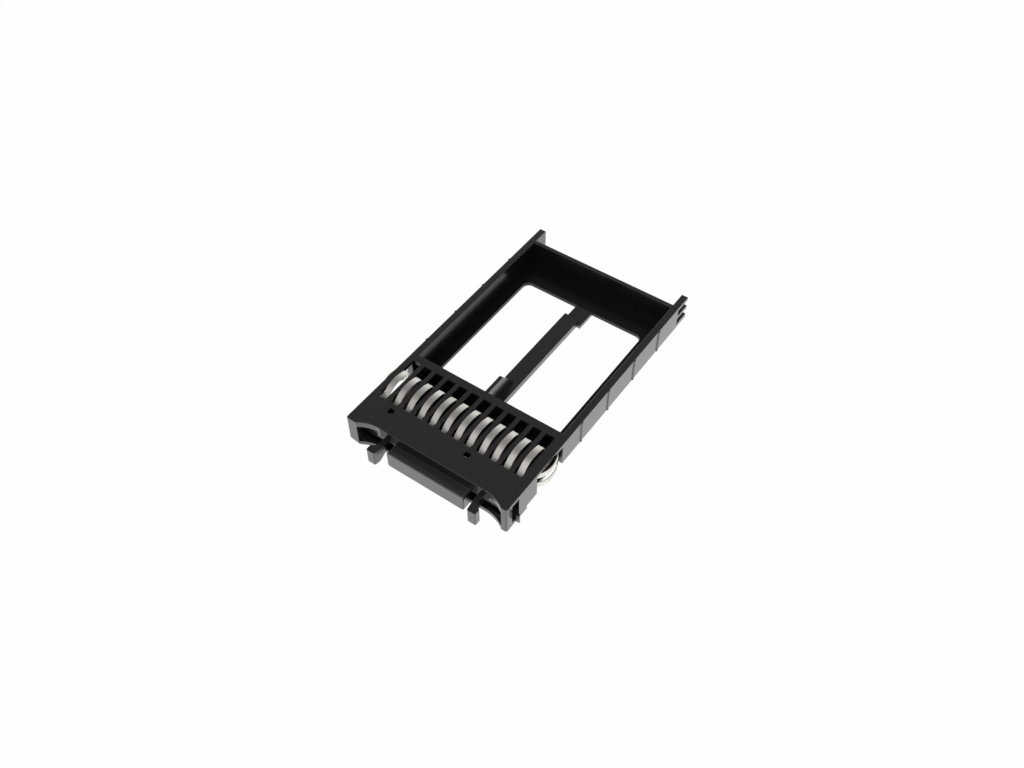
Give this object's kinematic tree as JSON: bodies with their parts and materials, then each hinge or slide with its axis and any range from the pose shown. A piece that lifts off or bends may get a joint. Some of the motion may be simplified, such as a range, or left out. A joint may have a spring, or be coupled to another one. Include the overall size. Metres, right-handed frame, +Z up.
{
  "type": "drive bay blank panel",
  "caption": "Drive bay blank panel: open plastic tray with side rails behind a shallow front with a pull bar, pinch latches and a row of arched spring contact fingers.",
  "frame": {"origin": "centre of the footprint, level with the lowest edge of the front", "axes": "+Y from the front to the tails of the rails, the way it is pushed into its bay; +X to the right seen from the front; +Z up"},
  "size_m": [0.0796, 0.1366, 0.015],
  "materials": {
    "black_plastic": "satin moulded plastic with a fine spark-eroded grain",
    "latch_plastic": "satin moulded plastic, a little smoother where fingers press",
    "spring_steel": "bright rolled stainless spring strip"
  },
  "bodies": {
    "housing": {"housing": "black_plastic", "contact_strip": "spring_steel"},
    "left_latch": {"left_latch": "latch_plastic"},
    "right_latch": {"right_latch": "latch_plastic"}
  },
  "joints": [
    {"name": "left_latch_pivot", "type": "hinge", "parent": "housing", "child": "left_latch", "pos_m": [-0.02915, -0.0282, 0.0076], "axis": [0, 0, 1], "range_deg": [0, 4.5], "stiffness_Nm_per_rad": 0.6, "springref_deg": -2.86},
    {"name": "right_latch_pivot", "type": "hinge", "parent": "housing", "child": "right_latch", "pos_m": [0.02915, -0.0282, 0.0076], "axis": [0, 0, -1], "range_deg": [0, 4.5], "stiffness_Nm_per_rad": 0.6, "springref_deg": -2.86}
  ]
}
